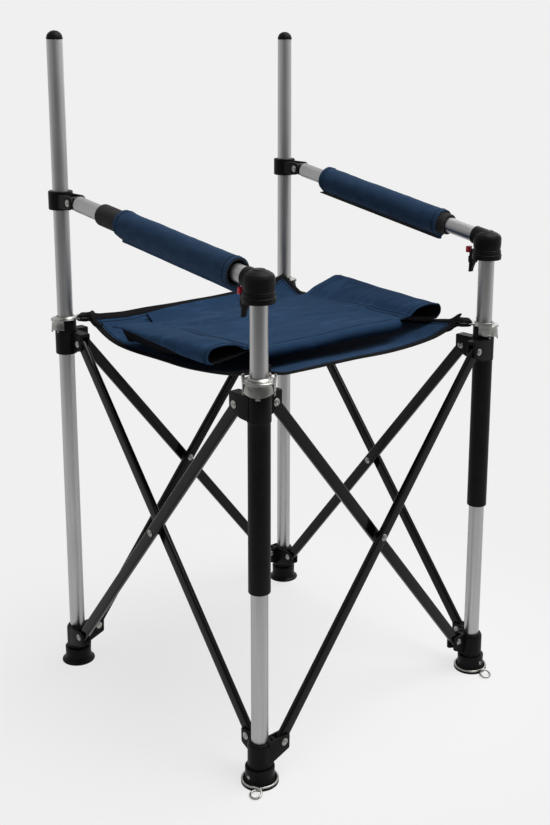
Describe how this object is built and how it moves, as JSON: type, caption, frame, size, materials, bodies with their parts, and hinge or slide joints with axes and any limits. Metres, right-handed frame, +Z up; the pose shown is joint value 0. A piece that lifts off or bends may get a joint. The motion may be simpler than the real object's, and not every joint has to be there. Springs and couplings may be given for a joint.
{
  "type": "child camping chair",
  "caption": "Tall folding camping chair for a child: tube legs, black scissor bars, blue sling seat with a folded back panel on it, padded arms that swing up.",
  "frame": {"origin": "on the floor under the middle of the chair's bounding box", "axes": "+Z up, the sitter faces -Y, +X is the sitter's left"},
  "size_m": [0.4784, 0.486, 0.932],
  "materials": {
    "aluminium": "satin anodised",
    "black_plastic": "moulded, satin",
    "black_paint": "black powder coat, semi-gloss",
    "zinc": "bright zinc plate",
    "red_plastic": "moulded, glossy",
    "foam": "closed-cell foam, matt",
    "blue_fabric": "coated polyester weave, matt"
  },
  "bodies": {
    "rear_right_leg": {"rear_pole_right": "aluminium", "pole_cap_right": "black_plastic", "foot_rear_right": "black_plastic", "foot_bracket_rear_right": "black_plastic", "arm_clamp_right": "black_plastic"},
    "front_right_leg": {"front_tube_right": "aluminium", "foot_front_right": "black_plastic", "foot_bracket_front_right": "black_plastic"},
    "rear_right_hub": {"hub_rear_right": "black_plastic", "seat_hanger_rear_right": "zinc"},
    "front_right_hub": {"hub_front_right": "black_plastic", "seat_hanger_front_right": "zinc", "front_post_right": "aluminium", "post_collar_right": "black_plastic"},
    "right_arm": {"arm_plug_right": "black_plastic", "arm_tube_right": "aluminium", "arm_grip_right": "foam", "arm_pad_right": "blue_fabric", "arm_elbow_right": "black_plastic"},
    "right_lever": {"release_lever_right": "black_plastic"},
    "right_button": {"lock_button_right": "red_plastic"},
    "right_peg_ring": {"peg_ring_right": "zinc"},
    "rear_left_leg": {"rear_pole_left": "aluminium", "pole_cap_left": "black_plastic", "foot_rear_left": "black_plastic", "foot_bracket_rear_left": "black_plastic", "arm_clamp_left": "black_plastic"},
    "front_left_leg": {"front_tube_left": "aluminium", "foot_front_left": "black_plastic", "foot_bracket_front_left": "black_plastic"},
    "rear_left_hub": {"hub_rear_left": "black_plastic", "seat_hanger_rear_left": "zinc"},
    "front_left_hub": {"hub_front_left": "black_plastic", "seat_hanger_front_left": "zinc", "front_post_left": "aluminium", "post_collar_left": "black_plastic"},
    "left_arm": {"arm_plug_left": "black_plastic", "arm_tube_left": "aluminium", "arm_grip_left": "foam", "arm_pad_left": "blue_fabric", "arm_elbow_left": "black_plastic"},
    "left_lever": {"release_lever_left": "black_plastic"},
    "left_button": {"lock_button_left": "red_plastic"},
    "left_peg_ring": {"peg_ring_left": "zinc"},
    "right_outer_bar": {"bar_right_outer": "black_paint", "bar_rivet_right": "zinc"},
    "right_inner_bar": {"bar_right_inner": "black_paint"},
    "front_outer_bar": {"bar_front_outer": "black_paint", "bar_rivet_front": "zinc"},
    "front_inner_bar": {"bar_front_inner": "black_paint"},
    "left_outer_bar": {"bar_left_outer": "black_paint", "bar_rivet_left": "zinc"},
    "left_inner_bar": {"bar_left_inner": "black_paint"},
    "rear_outer_bar": {"bar_rear_outer": "black_paint", "bar_rivet_rear": "zinc"},
    "rear_inner_bar": {"bar_rear_inner": "black_paint"},
    "seat_rear": {"seat_sling_rear": "blue_fabric"},
    "seat_front": {"seat_sling_front": "blue_fabric"},
    "panel": {"back_panel": "blue_fabric"}
  },
  "joints": [
    {"name": "frame_fold", "type": "hinge", "parent": "rear_right_leg", "child": "rear_inner_bar", "pos_m": [-0.17792, 0.21077, 0.051], "axis": [0, -1, 0], "range_deg": [0, 32.5], "deforming": ["seat_sling_rear", "seat_sling_front", "back_panel"]},
    {"name": "rear_cross", "type": "hinge", "parent": "rear_inner_bar", "child": "rear_outer_bar", "pos_m": [0.00408, 0.21876, 0.27525], "axis": [0, -1, 0], "range_deg": [-65, 0]},
    {"name": "rear_left_foot_pin", "type": "hinge", "parent": "rear_outer_bar", "child": "rear_left_leg", "pos_m": [0.18608, 0.22676, 0.051], "axis": [0, -1, 0], "range_deg": [0, 32.5]},
    {"name": "rear_right_hub_pin", "type": "hinge", "parent": "rear_outer_bar", "child": "rear_right_hub", "pos_m": [-0.17792, 0.22676, 0.4995], "axis": [0, -1, 0], "range_deg": [0, 32.5]},
    {"name": "rear_left_hub_pin", "type": "hinge", "parent": "rear_inner_bar", "child": "rear_left_hub", "pos_m": [0.18608, 0.21077, 0.4995], "axis": [0, -1, 0], "range_deg": [-32.5, 0]},
    {"name": "right_foot_pin", "type": "hinge", "parent": "rear_right_leg", "child": "right_outer_bar", "pos_m": [-0.21392, 0.19076, 0.051], "axis": [-1, 0, 0], "range_deg": [0, 32.5]},
    {"name": "right_cross", "type": "hinge", "parent": "right_outer_bar", "child": "right_inner_bar", "pos_m": [-0.20592, 0.00877, 0.27525], "axis": [-1, 0, 0], "range_deg": [-65, 0]},
    {"name": "front_right_foot_pin", "type": "hinge", "parent": "right_inner_bar", "child": "front_right_leg", "pos_m": [-0.19792, -0.17324, 0.051], "axis": [-1, 0, 0], "range_deg": [0, 32.5]},
    {"name": "front_right_hub_pin", "type": "hinge", "parent": "right_outer_bar", "child": "front_right_hub", "pos_m": [-0.21392, -0.17324, 0.4995], "axis": [-1, 0, 0], "range_deg": [-32.5, 0]},
    {"name": "left_foot_pin", "type": "hinge", "parent": "rear_left_leg", "child": "left_inner_bar", "pos_m": [0.20608, 0.19076, 0.051], "axis": [-1, 0, 0], "range_deg": [0, 32.5]},
    {"name": "left_cross", "type": "hinge", "parent": "left_inner_bar", "child": "left_outer_bar", "pos_m": [0.21408, 0.00877, 0.27525], "axis": [-1, 0, 0], "range_deg": [-65, 0]},
    {"name": "front_left_foot_pin", "type": "hinge", "parent": "left_outer_bar", "child": "front_left_leg", "pos_m": [0.22208, -0.17324, 0.051], "axis": [-1, 0, 0], "range_deg": [0, 32.5]},
    {"name": "front_left_hub_pin", "type": "hinge", "parent": "left_inner_bar", "child": "front_left_hub", "pos_m": [0.20608, -0.17324, 0.4995], "axis": [-1, 0, 0], "range_deg": [-32.5, 0]},
    {"name": "front_foot_pin", "type": "hinge", "parent": "front_right_leg", "child": "front_outer_bar", "pos_m": [-0.17792, -0.20924, 0.051], "axis": [0, -1, 0], "range_deg": [0, 32.5]},
    {"name": "front_cross", "type": "hinge", "parent": "front_outer_bar", "child": "front_inner_bar", "pos_m": [0.00408, -0.20123, 0.27525], "axis": [0, -1, 0], "range_deg": [-65, 0]},
    {"name": "right_arm_swing", "type": "hinge", "parent": "rear_right_leg", "child": "right_arm", "pos_m": [-0.20592, 0.18227, 0.702], "axis": [-1, 0, 0], "range_deg": [0, 95.88]},
    {"name": "left_arm_swing", "type": "hinge", "parent": "rear_left_leg", "child": "left_arm", "pos_m": [0.21408, 0.18227, 0.7195], "axis": [-1, 0, 0], "range_deg": [0, 95.88]},
    {"name": "seat_rear_drop", "type": "hinge", "parent": "rear_right_hub", "child": "seat_rear", "pos_m": [-0.18292, 0.19576, 0.5378], "axis": [1, 0, 0], "range_deg": [0, 66.62]},
    {"name": "seat_front_drop", "type": "hinge", "parent": "front_right_hub", "child": "seat_front", "pos_m": [-0.18292, -0.17824, 0.5378], "axis": [-1, 0, 0], "range_deg": [0, 66.62]},
    {"name": "panel_rise", "type": "hinge", "parent": "rear_right_hub", "child": "panel", "pos_m": [0.00408, 0.17677, 0.5314], "axis": [-1, 0, 0], "range_deg": [0, 81.25]},
    {"name": "right_lever_pull", "type": "hinge", "parent": "front_right_hub", "child": "right_lever", "pos_m": [-0.20592, -0.17774, 0.6225], "axis": [-1, 0, 0], "range_deg": [0, 18], "stiffness_Nm_per_rad": 0.06, "springref_deg": -14.32},
    {"name": "right_button_press", "type": "slide", "parent": "front_right_hub", "child": "right_button", "axis": [0, -1, 0], "range_m": [0, 0.0025], "stiffness_N_per_m": 500, "springref_m": -0.002},
    {"name": "right_ring_turn", "type": "hinge", "parent": "front_right_leg", "child": "right_peg_ring", "pos_m": [-0.20592, -0.20123, 0.0048], "axis": [0, 0, 1], "continuous": true},
    {"name": "left_lever_pull", "type": "hinge", "parent": "front_left_hub", "child": "left_lever", "pos_m": [0.21408, -0.17774, 0.6225], "axis": [-1, 0, 0], "range_deg": [0, 18], "stiffness_Nm_per_rad": 0.06, "springref_deg": -14.32},
    {"name": "left_button_press", "type": "slide", "parent": "front_left_hub", "child": "left_button", "axis": [0, -1, 0], "range_m": [0, 0.0025], "stiffness_N_per_m": 500, "springref_m": -0.002},
    {"name": "left_ring_turn", "type": "hinge", "parent": "front_left_leg", "child": "left_peg_ring", "pos_m": [0.21408, -0.20123, 0.0048], "axis": [0, 0, 1], "continuous": true}
  ],
  "couplings": [
    {"joint": "rear_cross", "follows": "frame_fold", "ratio": -2},
    {"joint": "rear_left_foot_pin", "follows": "frame_fold", "ratio": 1},
    {"joint": "rear_right_hub_pin", "follows": "frame_fold", "ratio": 1},
    {"joint": "rear_left_hub_pin", "follows": "frame_fold", "ratio": -1},
    {"joint": "right_foot_pin", "follows": "frame_fold", "ratio": 1},
    {"joint": "right_cross", "follows": "frame_fold", "ratio": -2},
    {"joint": "front_right_foot_pin", "follows": "frame_fold", "ratio": 1},
    {"joint": "front_right_hub_pin", "follows": "frame_fold", "ratio": -1},
    {"joint": "left_foot_pin", "follows": "frame_fold", "ratio": 1},
    {"joint": "left_cross", "follows": "frame_fold", "ratio": -2},
    {"joint": "front_left_foot_pin", "follows": "frame_fold", "ratio": 1},
    {"joint": "front_left_hub_pin", "follows": "frame_fold", "ratio": -1},
    {"joint": "front_foot_pin", "follows": "frame_fold", "ratio": 1},
    {"joint": "front_cross", "follows": "frame_fold", "ratio": -2},
    {"joint": "right_arm_swing", "follows": "frame_fold", "ratio": 2.95},
    {"joint": "left_arm_swing", "follows": "frame_fold", "ratio": 2.95},
    {"joint": "seat_rear_drop", "follows": "frame_fold", "ratio": 2.05},
    {"joint": "seat_front_drop", "follows": "frame_fold", "ratio": 2.05},
    {"joint": "panel_rise", "follows": "frame_fold", "ratio": 2.5}
  ]
}
